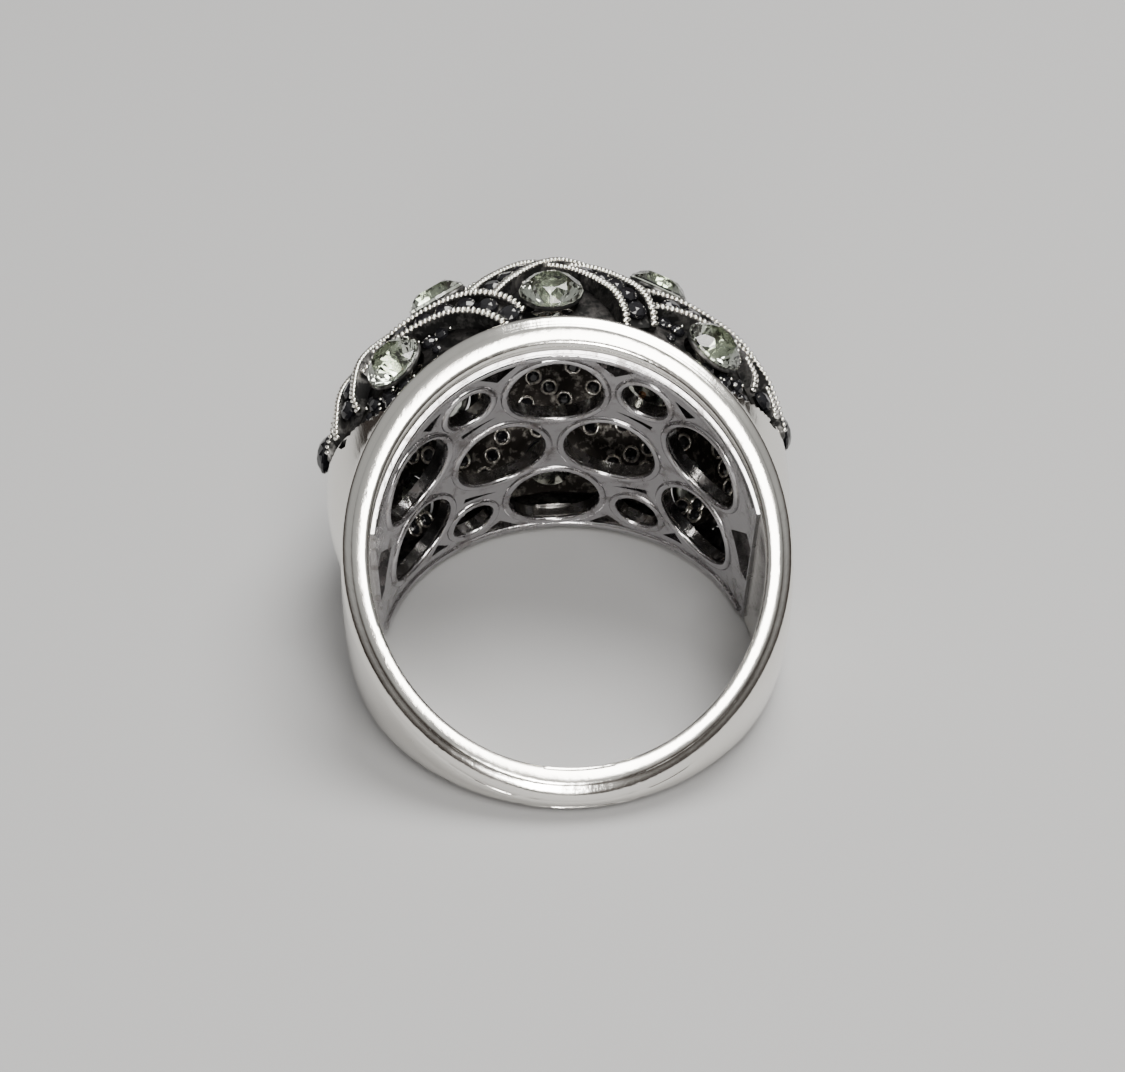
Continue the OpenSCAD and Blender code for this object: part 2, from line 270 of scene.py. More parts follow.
# %% Plating wear: gloss that wanders, and hairline scratches
wear, w_in, w_out = shader_group(
    "plating wear",
    [("Blotch Size", "NodeSocketFloat", 400.0), ("Scratch Size", "NodeSocketFloat", 2500.0),
     ("Low Roughness", "NodeSocketFloat", 0.05), ("High Roughness", "NodeSocketFloat", 0.14)],
    [("Roughness", "NodeSocketFloat"), ("Scratches", "NodeSocketFloat")],
)
place = wear.nodes.new("ShaderNodeTexCoord")
blotch = wear.nodes.new("ShaderNodeTexNoise")
blotch.inputs["Detail"].default_value = 5
wear.links.new(place.outputs["Object"], blotch.inputs["Vector"])
wear.links.new(w_in.outputs["Blotch Size"], blotch.inputs["Scale"])
stretch = wear.nodes.new("ShaderNodeMapping")
stretch.inputs["Scale"].default_value = (1.0, 0.12, 1.0)
stretch.inputs["Rotation"].default_value = (0.4, 0.2, 0.7)
wear.links.new(place.outputs["Object"], stretch.inputs["Vector"])
scratch = wear.nodes.new("ShaderNodeTexNoise")
scratch.inputs["Detail"].default_value = 3
wear.links.new(stretch.outputs["Vector"], scratch.inputs["Vector"])
wear.links.new(w_in.outputs["Scratch Size"], scratch.inputs["Scale"])
wear.links.new(
    spread(wear, blotch.outputs["Fac"], 0.35, 0.7, w_in.outputs["Low Roughness"], w_in.outputs["High Roughness"]),
    w_out.inputs["Roughness"],
)
wear.links.new(spread(wear, scratch.outputs["Fac"], 0.4, 0.6, 0.0, 1.0), w_out.inputs["Scratches"])

# %% Tarnish: a mask that is 1 where dark patina sits
tarnish, t_in, t_out = shader_group(
    "tarnish",
    [("Size", "NodeSocketFloat", 900.0), ("Amount", "NodeSocketFloat", 0.5)],
    [("Mask", "NodeSocketFloat")],
)
t_place = tarnish.nodes.new("ShaderNodeTexCoord")
t_noise = tarnish.nodes.new("ShaderNodeTexNoise")
t_noise.inputs["Detail"].default_value = 6
t_noise.inputs["Roughness"].default_value = 0.65
tarnish.links.new(t_place.outputs["Object"], t_noise.inputs["Vector"])
tarnish.links.new(t_in.outputs["Size"], t_noise.inputs["Scale"])
low_edge = math_node(tarnish, "SUBTRACT", 0.85, t_in.outputs["Amount"])
high_edge = math_node(tarnish, "ADD", low_edge, 0.18)
tarnish.links.new(spread(tarnish, t_noise.outputs["Fac"], low_edge, high_edge, 0.0, 1.0), t_out.inputs["Mask"])
print("shared effects:", [g.name for g in bpy.data.node_groups])


# %% A metal finish made from those two effects
def metal(name, bright, dark, amount, blotch_size, rough_low, rough_high, bump, grain=2500.0, tarnish_size=900.0):
    material = bpy.data.materials.new(name)
    material.use_nodes = True
    tree = material.node_tree
    shader = tree.nodes["Principled BSDF"]
    shader.inputs["Metallic"].default_value = 1.0
    plating = tree.nodes.new("ShaderNodeGroup")
    plating.node_tree = wear
    plating.inputs["Blotch Size"].default_value = blotch_size
    plating.inputs["Scratch Size"].default_value = grain
    plating.inputs["Low Roughness"].default_value = rough_low
    plating.inputs["High Roughness"].default_value = rough_high
    patina = tree.nodes.new("ShaderNodeGroup")
    patina.node_tree = tarnish
    patina.inputs["Size"].default_value = tarnish_size
    patina.inputs["Amount"].default_value = amount
    two_tones(tree, patina.outputs["Mask"], bright, dark, shader)
    dull = math_node(tree, "MULTIPLY", patina.outputs["Mask"], 0.25)
    tree.links.new(math_node(tree, "ADD", plating.outputs["Roughness"], dull), shader.inputs["Roughness"])
    relief = tree.nodes.new("ShaderNodeBump")
    relief.inputs["Strength"].default_value = bump
    relief.inputs["Distance"].default_value = 0.00002
    tree.links.new(plating.outputs["Scratches"], relief.inputs["Height"])
    tree.links.new(relief.outputs["Normal"], shader.inputs["Normal"])
    return material


polish = metal("polished rhodium plate", (0.88, 0.86, 0.815), (0.66, 0.61, 0.54), 0.2, 300, 0.12, 0.2, 0.15)
satin = metal("satin gallery plate", (0.50, 0.49, 0.50), (0.24, 0.22, 0.22), 0.35, 500, 0.12, 0.22, 0.3)
bead_metal = metal("bright beads", (0.92, 0.90, 0.84), (0.50, 0.47, 0.42), 0.25, 900, 0.10, 0.22, 0.2)
# Rail walls, channel floors and crystal collets take a much darker copy of the bead metal: painted shade below the
# bright beads.
shaded_rail_metal = metal("blackened rail walls", (0.20, 0.195, 0.19), (0.02, 0.02, 0.02), 0.5, 900, 0.3, 0.5, 0.4)
# A lighter copy of the blackened casting for the dome's inner faces: painted light in the dim inside of the dome.
lit_inside_cast = metal("bronze-grey inside", (0.26, 0.245, 0.22), (0.025, 0.022, 0.02), 0.55, 900, 0.2, 0.36, 0.6,
                    tarnish_size=2200.0)
# Blackened metal of the dome's outside; the same dark tone is painted shade on the walls of the shank's opening.
dark_cast_and_shade = metal("blackened casting", (0.085, 0.08, 0.078), (0.012, 0.012, 0.012), 0.5, 700, 0.28, 0.45, 0.6,
                  tarnish_size=1500.0)
# Rims of the openings inside the dome: worn metal, lighter than the inside casting as painted highlight.
worn_rim_highlight_metal = metal("worn openings", (0.60, 0.57, 0.52), (0.10, 0.09, 0.08), 0.35, 900, 0.16, 0.32, 0.4,
                    tarnish_size=1800.0)


# %% Black stones and smoky crystal
def stone_finish(name, colour, tint, roughness):
    material = bpy.data.materials.new(name)
    material.use_nodes = True
    tree = material.node_tree
    shader = tree.nodes["Principled BSDF"]
    place = tree.nodes.new("ShaderNodeTexCoord")
    cloud = tree.nodes.new("ShaderNodeTexNoise")
    cloud.inputs["Scale"].default_value = 600
    cloud.inputs["Detail"].default_value = 3
    tree.links.new(place.outputs["Object"], cloud.inputs["Vector"])
    two_tones(tree, cloud.outputs["Fac"], colour, tint, shader)
    gloss = spread(tree, cloud.outputs["Fac"], 0.3, 0.7, roughness, roughness * 2)
    tree.links.new(gloss, shader.inputs["Roughness"])
    return material, shader


jet, jet_shader = stone_finish("jet black stone", (0.003, 0.003, 0.004), (0.010, 0.010, 0.012), 0.05)
jet_shader.inputs["IOR"].default_value = 1.55
smoke, smoke_shader = stone_finish("smoky crystal", (0.76, 0.80, 0.71), (0.64, 0.69, 0.60), 0.004)
smoke_shader.inputs["Transmission Weight"].default_value = 1.0
smoke_shader.inputs["IOR"].default_value = 1.62
silver_foil = metal("silver foil", (0.78, 0.80, 0.74), (0.55, 0.57, 0.50), 0.4, 1500, 0.08, 0.22, 0.2)
brown_foil = metal("brown foil", (0.50, 0.30, 0.17), (0.22, 0.11, 0.06), 0.4, 1500, 0.12, 0.3, 0.3)
print("finishes:", len(bpy.data.materials))

# %% [markdown]
# ## The shank and its rims
# The casting is one loop whose width grows towards the head. Swept sections fit
# it best: at each angle round the finger hole the outline runs over the inner
# wall, the rounded rim with its narrow outer bevel, and the outer wall. Where the
# dome's curve swells past the shank it becomes the shoulder, blended softly.


# %% Outline of the shank at one angle
RIM_SHAPE = [  # share of the rim's width, depth below the rim's plane in mm
    (0.0, 0.34), (0.012, 0.2), (0.045, 0.1), (0.1, 0.035), (0.18, 0.005), (0.3, 0.0), (0.42, 0.004),
    (0.52, 0.02), (0.58, 0.045), (0.61, 0.075), (0.64, 0.1), (0.72, 0.135), (0.8, 0.175), (0.88, 0.24),
    (0.94, 0.33), (0.98, 0.46), (1.0, 0.64),
]
SHOULDER_LIFT = 0.55  # the shoulders stand this far above the dome's casting


def soft_max(a, b, blend):
    return (a + b + math.sqrt((a - b) ** 2 + blend ** 2)) / 2


def shoulder_reach(phi, a, lift=0.0):
    """Distance of the dome's surface from the finger hole's axis, or 0 where there is none."""
    inside = (DOME_R + lift) ** 2 - a * a
    if inside <= 0 or math.cos(phi) <= 0:
        return 0.0
    rho = DOME_OFF + math.sqrt(inside)
    under = rho ** 2 - (DOME_Y * math.sin(phi)) ** 2
    return DOME_Y * math.cos(phi) + math.sqrt(under) if under > 0 else 0.0


def outer_reach(phi, a):
    shank = SHANK_RISE * math.cos(phi) + math.sqrt(SHANK_R ** 2 - (SHANK_RISE * math.sin(phi)) ** 2)
    crown = 0.38 * (1 - math.cos(phi)) / 2  # the plain part of the shank is domed outside
    shank -= crown * min(1.0, abs(a) / rim_at(SHANK_R * math.cos(phi))) ** 2
    dome = shoulder_reach(phi, a, SHOULDER_LIFT)
    end = (dome * math.cos(phi) - HEAD_END_Y + 0.1) / 0.2  # at the straight edge it drops under the head
    fade = min(1.0, max(0.0, end))
    dome -= fade * max(0.0, dome - shank) if end > 0 else 0.0
    return soft_max(shank, dome, 0.16) - 0.04


def shank_outline(phi):
    """Half of the section, from the inner wall's middle over the near rim to the outer wall's middle."""
    k = SLOPE * math.cos(phi)
    width = outer_reach(phi, rim_at(SHANK_R * math.cos(phi), 0.5)) - HOLE_R
    squash = min(1.0, rim_at(SHANK_R * math.cos(phi)) / 0.95)
    top = [(HOLE_R + s * width, HALF_WIDTH + k * (HOLE_R + s * width) - depth * squash) for s, depth in RIM_SHAPE]
    inner = [(HOLE_R, top[0][1] * i / 5) for i in range(5)]
    start = top[-1][1]
    outer = []
    for i in range(1, 25):
        a = start * (1 - i / 24)
        outer.append((outer_reach(phi, a), a))
    return inner + top + outer


# %% Sweep it round the finger hole
def turns_of_sweep():
    """Angles round the finger hole in degrees, closer together at the head's two straight edges."""
    half, t = [0.0], 0.0
    while t < 179.9:
        t += 0.35 if 44 <= t < 60 else 1.2
        half.append(min(t, 180.0))
    return half + [360 - t for t in reversed(half[1:-1])]


def swept_shank():
    turns = turns_of_sweep()
    steps = len(turns)
    points, faces = [], []
    for i in range(steps):
        phi = math.radians(turns[i])
        half = shank_outline(phi)
        loop = half + [(r, -a) for r, a in reversed(half[1:-1])]
        points += [(r * math.sin(phi), r * math.cos(phi), a) for r, a in loop]
    n = len(points) // steps
    for i in range(steps):
        for j in range(n):
            a, b = i * n + j, i * n + (j + 1) % n
            c, d = ((i + 1) % steps) * n + j, ((i + 1) % steps) * n + (j + 1) % n
            faces.append((a, b, d, c))
    return mesh_piece("shank_and_rims", points, faces, polish)


shank = swept_shank()
print("shank sweep:", len(shank.data.polygons), "faces")

# %% [markdown]
# The gallery plate drops into a recess, and behind it the head is open. Both are
# milled out of the sweep with booleans, because their edges are crisp inside.


# %% Recess for the plate, and the opening behind it
def arc_block(name, low_y, r_in, reach, inset, steps=72, rows=12):
    """A block that follows the finger hole: between two radii and the two rims, above low_y."""
    end = math.acos(low_y / ((r_in + HOLE_R + 0.6) / 2))
    points, faces = [], []
    for i in range(steps + 1):
        phi = -end + 2 * end * i / steps
        for side in (0, 1):
            for j in range(rows + 1):
                share = 2 * j / rows - 1
                r = reach(phi, share * rim_at(HOLE_R * math.cos(phi), inset)) if side else r_in
                a = share * (HALF_WIDTH - inset + SLOPE * r * math.cos(phi))
                points.append((r * math.sin(phi), r * math.cos(phi), a))
    n = rows + 1
    ring = list(range(n)) + [2 * n - 1 - j for j in range(n)]
    for i in range(steps):
        base = i * 2 * n
        for j in range(2 * n):
            a, b = base + ring[j], base + ring[(j + 1) % (2 * n)]
            faces.append((a, b, b + 2 * n, a + 2 * n))
    faces.append(tuple(reversed(ring)))
    faces.append(tuple(steps * 2 * n + j for j in ring))
    return mesh_piece(name, points, faces)


def window_reach(phi, a):
    r = outer_reach(phi, a)
    if r * math.cos(phi) > HEAD_END_Y - 0.3:
        return max(r, SHANK_R) + 1.0
    return max(9.75, shoulder_reach(phi, a) - DOME_WALL)


def mill(piece, cutter, finish=None):
    """Cuts a shape out of a piece; the fresh faces may take a finish of their own."""
    if finish:
        cutter.data.materials.append(finish)
    cut = piece.modifiers.new("mill", "BOOLEAN")
    cut.operation = "DIFFERENCE"
    cut.solver = "EXACT"
    cut.material_mode = "TRANSFER" if finish else "INDEX"
    cut.object = cutter
    bpy.context.view_layer.update()
    mesh = bpy.data.meshes.new_from_object(piece.evaluated_get(bpy.context.evaluated_depsgraph_get()))
    piece.modifiers.remove(cut)
    piece.data = mesh
    bpy.data.objects.remove(cutter)


PLATE_IN_R, PLATE_OUT_R, LIP_W, LEDGE_W = 8.86, 9.6, 0.42, 1.7
mill(shank, arc_block("recess", 1.4, 8.5, lambda phi, a: PLATE_OUT_R, LIP_W))
# The opening's fresh walls take the dark casting tone, darker than the polished shank: painted shade in the hollow
# behind the plate.
mill(shank, arc_block("window", 3.0, 9.3, window_reach, LEDGE_W), dark_cast_and_shade)
keep_corners(shank, 28)
hand_in(shank, "polished_rhodium", "band")
print("shank milled:", len(shank.data.polygons), "faces, finishes", [m.name for m in shank.data.materials])

# %% [markdown]
# ## The dome under the stones
# The real dome is a thin blackened casting with a seat drilled under each stone.
# It is a surface of revolution, so a grid of its two angles gives both walls, and
# each crystal's seat is drilled through with a boolean.


# %% Dome wall
def dome_edge(turn):
    """The dome stops where it meets the shank's outer face."""
    c = math.cos(turn)
    rho = -DOME_Y * c + math.sqrt(DOME_Y ** 2 * (c * c - 1) + (SHANK_R - 0.05) ** 2)
    return math.acos(min(1.0, max(0.0, (max(rho, 4.2) - DOME_OFF) / DOME_R)))


def dome_casting():
    end = math.acos((HEAD_END_Y - DOME_Y) / (DOME_OFF + DOME_R))
    columns, rows = 96, 64
    points, faces = [], []
    for lift in (-0.01, -DOME_WALL):
        for i in range(columns + 1):
            turn = -end + 2 * end * i / columns
            edge = dome_edge(turn)
            for j in range(rows + 1):
                points.append(tuple(shell_point(turn, edge * (2 * j / rows - 1), lift)))
    n = rows + 1
    inner = (columns + 1) * n
    for i in range(columns):
        for j in range(rows):
            a = i * n + j
            faces.append((a, a + 1, a + n + 1, a + n))
            faces.append((inner + a, inner + a + n, inner + a + n + 1, inner + a + 1))
    for i in range(columns):
        for j in (0, rows):
            a = i * n + j
            faces.append((a, a + n, inner + a + n, inner + a))
    for j in range(rows):
        for i in (0, columns):
            a = i * n + j
            faces.append((a, a + 1, inner + a + 1, inner + a))
    casting = mesh_piece("dome_casting", points, faces, dark_cast_and_shade)
    # Faces turned into the dome take the lighter inside tone as painted light; the outside keeps the dark casting.
    casting.data.materials.append(lit_inside_cast)
    middle = laid(0, DOME_Y, 0)
    for face in casting.data.polygons:
        face.material_index = 1 if face.normal.dot(face.center - middle) < 0 else 0
    return casting


CRYSTALS = {
    "crown": (0, 0), "near_centre": (0, 1), "far_centre": (0, -1),
    "near_left": (-2, 1), "near_right": (2, 1), "far_left": (-2, -1), "far_right": (2, -1),
    "mid_near_left": (-1, 0.5), "mid_near_right": (1, 0.5),
    "mid_far_left": (-1, -0.5), "mid_far_right": (1, -0.5),
}


def stone_frame(up, along):
    """Three directions at a stone's seat: sideways, forwards and outwards."""
    side = along.cross(up).normalized()
    return side, up.cross(side), up


SEAT_R = 1.3


def circle_at(middle, x, y, r, count):
    return [tuple(middle + r * (math.cos(t) * x + math.sin(t) * y))
            for t in (2 * math.pi * i / count for i in range(count))]


def seat_drill():
    points, faces = [], []
    for u, v in CRYSTALS.values():
        middle, up = dome_point(u, v), dome_up(u, v)
        x, y, _ = stone_frame(up, Vector((0, 0, 1)) if abs(up.z) < 0.9 else Vector((0, 1, 0)))
        base = len(points)
        for h in (-2.0, 1.0):
            points += circle_at(middle + h * up, x, y, SEAT_R, 40)
        faces += [(base + i, base + (i + 1) % 40, base + 40 + (i + 1) % 40, base + 40 + i) for i in range(40)]
        faces += [tuple(base + i for i in reversed(range(40))), tuple(base + 40 + i for i in range(40))]
    return mesh_piece("drill", points, faces)


dome = dome_casting()
mill(dome, seat_drill())
keep_corners(dome, 40)
hand_in(dome, "dark_metal", "head_shell")
print("dome casting:", len(dome.data.polygons), "faces")

# %% [markdown]
# ## The openwork gallery plate
# The plate itself is exact in the frame, so its node stays and gets a satin
# finish. What the frame leaves out is the soft raised collar round each opening
# and along both edges. A collar follows a path, so Geometry Nodes sweep it.

# %% Sweep tree: a rounded strip along any path
sweep = geometry_tree("collar along a path", (
    ("Half Width", "Float", 0.0002), ("Step", "Float", 0.0002),
    ("Finish", "Material", None)))
s_in, s_out = sweep.nodes.new("NodeGroupInput"), sweep.nodes.new("NodeGroupOutput")
to_curve = sweep.nodes.new("GeometryNodeMeshToCurve")
resample = sweep.nodes.new("GeometryNodeResampleCurve")
resample.mode = "LENGTH"
profile = sweep.nodes.new("GeometryNodeCurvePrimitiveCircle")
profile.inputs["Resolution"].default_value = 12
strip = sweep.nodes.new("GeometryNodeCurveToMesh")
strip.inputs["Fill Caps"].default_value = True
shade = sweep.nodes.new("GeometryNodeSetShadeSmooth")
real = sweep.nodes.new("GeometryNodeRealizeInstances")
paint = sweep.nodes.new("GeometryNodeSetMaterial")
connect(sweep, (
    (s_in, "Geometry", to_curve, 0),
    (to_curve, 0, resample, "Curve"),
    (s_in, "Step", resample, "Length"),
    (s_in, "Half Width", profile, "Radius"),
    (resample, 0, strip, "Curve"),
    (profile, 0, strip, "Profile Curve"),
    (strip, 0, shade, "Geometry"),
    (shade, 0, real, 0),
    (real, 0, paint, "Geometry"),
    (s_in, "Finish", paint, "Material"),
    (paint, 0, s_out, 0),
))


# %% Guide paths on the plate
def guide(name, chains, attributes=()):
    """A wire object: chains of (points, closed). Attributes are lists of vectors per point."""
    mesh = bpy.data.meshes.new(name)
    points, edges = [], []
    for chain, closed in chains:
        base = len(points)
        points += [laid(*p) for p in chain]
        edges += [(base + i, base + i + 1) for i in range(len(chain) - 1)]
        if closed:
            edges.append((base + len(chain) - 1, base))
    mesh.from_pydata(points, edges, [])
    for label, values in attributes:
        layer = mesh.attributes.new(label, "FLOAT_VECTOR", "POINT")
        layer.data.foreach_set("vector", [c for v in values for c in turned(v)])
    wire = bpy.data.objects.new(name, mesh)
    bpy.context.scene.collection.objects.link(wire)
    return wire


def on_plate(angle, s, z, r):
    """A point of the plate: s and z are measured from a place at an angle from the head's middle."""
    turn = math.radians(angle) + s / HOLE_R
    return (r * math.sin(turn), r * math.cos(turn), z)


BIG_HOLE, SMALL_HOLE, COLLAR = 4.7, 2.4, 0.21
NEAR_Z, MID_TURN, END_TURN, END_Z, SMALL_TURN, SMALL_Z = 4.7, 17.8, 51, 2.7, 28, 5.05
BOTH = (-1, 1)
openings = [(0, side * NEAR_Z, BIG_HOLE) for side in BOTH] + [(side * MID_TURN, 0, BIG_HOLE) for side in BOTH]
openings += [(side * END_TURN, face * END_Z, BIG_HOLE) for side in BOTH for face in BOTH]
openings += [(side * SMALL_TURN, face * SMALL_Z, SMALL_HOLE) for side in BOTH for face in BOTH]
collar_r = PLATE_IN_R + 0.06
paths = []
for angle, z, d in openings:
    reach = d / 2 + COLLAR * 0.75
    paths.append(([on_plate(angle, reach * math.cos(t), z + reach * math.sin(t), collar_r)
                   for t in (2 * math.pi * i / 64 for i in range(64))], True))
for face in (-1, 1):
    edge = [(collar_r * math.sin(math.radians(t)), collar_r * math.cos(math.radians(t)),
             face * rim_at(collar_r * math.cos(math.radians(t)), LIP_W + 0.3)) for t in range(-78, 79, 2)]
    paths.append((edge, False))
collars = guide("gallery_collars", paths)
bake_tree(collars, sweep, **{"Half Width": COLLAR / 1000, "Step": 0.00016, "Finish": satin})
hand_in(collars, "gallery_metal")
plate = frame["nodes"]["gallery_plate"]
plate.data.materials.clear()
plate.data.materials.append(satin)
print("collars round", len(openings), "openings:", len(collars.data.polygons), "faces")

# %% [markdown]
# ## The woven ribbons
# A ribbon is a channel with two rails, and its stones sit between them. Ribbons
# of one family rise to the right, those of the other fall, and they take turns in
# passing over each other, as in basket work. A ribbon that passes under stops on
# both sides of the one above.

# %% Where each ribbon runs
RIBBON_W, RAIL_H, RAIL_W, FLOOR_H, CROSS_LIFT, PLAY = 1.8, 0.75, 0.34, 0.25, 0.25, 0.03
SHORTEST = 0.25  # a shorter stretch is left out, in columns
DIVE = 0.16  # a ribbon's free end sinks to the dome over this many columns


def row_of(family, line, u):
    return (family * u + line) / 2


def first_column(family, line):
    return max(-LAST_COLUMN, -2 * RIM_ROW - line if family > 0 else line - 2 * RIM_ROW)


def final_column(family, line):
    return min(LAST_COLUMN, 2 * RIM_ROW - line if family > 0 else line + 2 * RIM_ROW)


def passes_over(family, line, other):
    return family > 0 if ((line + other) // 2) % 2 == 0 else family < 0


def crossing(family, line, other):
    return family * (other - line) / 2


def ribbon_lift(family, line, u):
    return max([0.0] + [CROSS_LIFT * math.exp(-((u - crossing(family, line, o)) / 0.28) ** 2)
                        for o in LINES if passes_over(family, line, o)])


def line_way(family, u, v):
    return (dome_point(u + 0.01, v + family * 0.005) - dome_point(u - 0.01, v - family * 0.005)).normalized()


def spans(u, v):
    """Millimetres over the dome for one column and for one row."""
    here = dome_point(u, v)
    return (dome_point(u + 0.01, v) - here).length / 0.01, (dome_point(u, v + 0.01) - here).length / 0.01


def cell_width(u, v):
    """Distance between neighbouring ribbons of one family, in mm."""
    across, along = spans(u, v)
    return 2 * across * along / math.hypot(2 * across, along)


def stretches(family, line):
    low, high = first_column(family, line), final_column(family, line)
    cuts = sorted(c for o in LINES if not passes_over(family, line, o)
                  for c in [crossing(family, line, o)] if low < c < high)
    half = [(RIBBON_W / 2 + PLAY) / cell_width(c, row_of(family, line, c)) for c in cuts]
    starts = [low] + [c + h for c, h in zip(cuts, half)]
    stops = [c - h for c, h in zip(cuts, half)] + [high]
    return [(a, b) for a, b in zip(starts, stops) if b - a > SHORTEST]


print("rising ribbon 2 runs in", len(stretches(1, -1)), "stretches")


# %% Channel and rails of one ribbon
def sinking(family, line, u):
    """1 along a ribbon, less near its two free ends."""
    near = min(u - first_column(family, line), final_column(family, line) - u)
    share = min(1.0, max(0.0, near / DIVE))
    return 0.45 + 0.55 * math.sin(share * math.pi / 2)


def ribbon_rows(family, line, u0, u1, step=0.05):
    """Places along a stretch, each with its directions across and outwards, its lift and its height's share."""
    count = max(2, math.ceil((u1 - u0) / step))
    for i in range(count + 1):
        u = u0 + (u1 - u0) * i / count
        v = row_of(family, line, u)
        up = dome_up(u, v)
        side = line_way(family, u, v).cross(up).normalized()
        skew = -family * line_way(-family, u, v)
        yield dome_point(u, v), skew / skew.dot(side), up, ribbon_lift(family, line, u), sinking(family, line, u)


def ribbon_channel(name, family, line):
    w, e = RIBBON_W / 2, RIBBON_W / 2 - RAIL_W
    top = RAIL_H - 0.1  # the beads stand on the rails
    section = [(-w, -0.03), (-e, -0.03), (e, -0.03), (w, -0.03), (w, top - 0.05), (w - 0.05, top), (e + 0.05, top),
               (e, top - 0.05), (e, FLOOR_H), (-e, FLOOR_H), (-e, top - 0.05), (-e - 0.05, top), (-w + 0.05, top),
               (-w, top - 0.05)]
    n = len(section)
    points, faces = [], []
    for u0, u1 in stretches(family, line):
        base = len(points)
        rows = list(ribbon_rows(family, line, u0, u1))
        for place, across, up, lift, share in rows:
            points += [tuple(place + x * across + (h * share + lift if h > 0 else h) * up) for x, h in section]
        for i in range(len(rows) - 1):
            for j in range(n):
                a, b = base + i * n + j, base + i * n + (j + 1) % n
                faces.append((a, b, b + n, a + n))
        for start in (base, base + (len(rows) - 1) * n):
            faces += [tuple(start + j for j in part) for part in
                      ((13, 12, 11, 10, 9, 1, 0), (9, 8, 2, 1), (8, 7, 6, 5, 4, 3, 2))]
    # The whole channel takes the dark rail tone: painted shade under the beads.
    piece = mesh_piece(name, points, faces, shaded_rail_metal)
    keep_corners(piece, 35)
    return piece


# %% [markdown]
# ## Milgrain
# Milgrain is the row of tiny beads rolled along a rail. Thousands of beads follow
# a few dozen paths, which is work for Geometry Nodes: resample the path at one
# bead's pitch, stand a bead on each point, and turn it with the rail.

# %% Bead tree
milgrain = geometry_tree("milgrain along a rail", (
    ("Pitch", "Float", 0.00027), ("Bead Size", "Vector", (1, 1, 1)),
    ("Unevenness", "Float", 0.1), ("Seed", "Int", 3),
    ("Finish", "Material", None)))


m_in, m_out = add(milgrain, "NodeGroupInput"), add(milgrain, "NodeGroupOutput")
m_curve = add(milgrain, "GeometryNodeMeshToCurve")
m_even = add(milgrain, "GeometryNodeResampleCurve", mode="LENGTH")
bead = add(milgrain, "GeometryNodeMeshUVSphere")
bead.inputs["Segments"].default_value = 8
bead.inputs["Rings"].default_value = 5
bead.inputs["Radius"].default_value = 0.5
round_bead = add(milgrain, "GeometryNodeSetShadeSmooth")
up_field = add(milgrain, "GeometryNodeInputNamedAttribute", data_type="FLOAT_VECTOR")
up_field.inputs["Name"].default_value = "up"
way_field = add(milgrain, "GeometryNodeInputTangent")
axes = add(milgrain, "FunctionNodeAxesToRotation", primary_axis="Z", secondary_axis="X")
uneven = add(milgrain, "FunctionNodeRandomValue", data_type="FLOAT")
low = add(milgrain, "ShaderNodeMath", operation="SUBTRACT")
low.inputs[0].default_value = 1.0
scale = add(milgrain, "ShaderNodeVectorMath", operation="SCALE")
stand = add(milgrain, "GeometryNodeInstanceOnPoints")
m_real = add(milgrain, "GeometryNodeRealizeInstances")
m_paint = add(milgrain, "GeometryNodeSetMaterial")
connect(milgrain, (
    (m_in, "Geometry", m_curve, 0),
    (m_curve, 0, m_even, "Curve"),
    (m_in, "Pitch", m_even, "Length"),
    (m_even, 0, stand, "Points"),
    (bead, "Mesh", round_bead, "Geometry"),
    (round_bead, 0, stand, "Instance"),
    (up_field, "Attribute", axes, 0),
    (way_field, 0, axes, 1),
    (axes, 0, stand, "Rotation"),
    (m_in, "Unevenness", low, 1),
    (low, 0, uneven, 2),
    (m_in, "Seed", uneven, "Seed"),
    (m_in, "Bead Size", scale, 0),
    (uneven, 1, scale, "Scale"),
    (scale, 0, stand, "Scale"),
    (stand, 0, m_real, 0),
    (m_real, 0, m_paint, "Geometry"),
    (m_in, "Finish", m_paint, "Material"),
    (m_paint, 0, m_out, 0),
))
uneven.inputs[3].default_value = 1.0
print("bead tree:", len(milgrain.nodes), "nodes")


# %% Ribbons with their beads
BEAD_CLEAR = 0.2  # beads stop this far above the head's straight edge


def under_head():
    """All the space below the head's straight edge, where the shoulders are."""
    top = HEAD_END_Y + PLAY
    points = [(x, y, z) for x in (-20, 20) for y in (-20, top) for z in (-20, 20)]
    faces = [(0, 1, 3, 2), (4, 6, 7, 5), (0, 4, 5, 1), (2, 3, 7, 6), (0, 2, 6, 4), (1, 5, 7, 3)]
    return mesh_piece("under_head", points, faces, shaded_rail_metal)


def ribbon_beads(name, family, line, seed):
    middle = (RIBBON_W - RAIL_W) / 2
    chains, ups = [], []
    for u0, u1 in stretches(family, line):
        rows = list(ribbon_rows(family, line, u0, u1, 0.03))
        for side in (-1, 1):
            path = [(p + side * middle * x + ((RAIL_H - 0.1) * share + lift) * up, up)
                    for p, x, up, lift, share in rows]
            path = [spot for spot in path if spot[0].y > HEAD_END_Y + BEAD_CLEAR]
            if len(path) > 1:
                chains.append(([tuple(place) for place, _ in path], False))
                ups += [up for _, up in path]
    wire = guide(name, chains, [("up", ups)])
    size = (0.00023, 0.00048, 0.00034)
    bake_tree(wire, milgrain, **{"Pitch": 0.00026, "Bead Size": size, "Unevenness": 0.12, "Seed": seed,
                                 "Finish": bead_metal})
    return wire


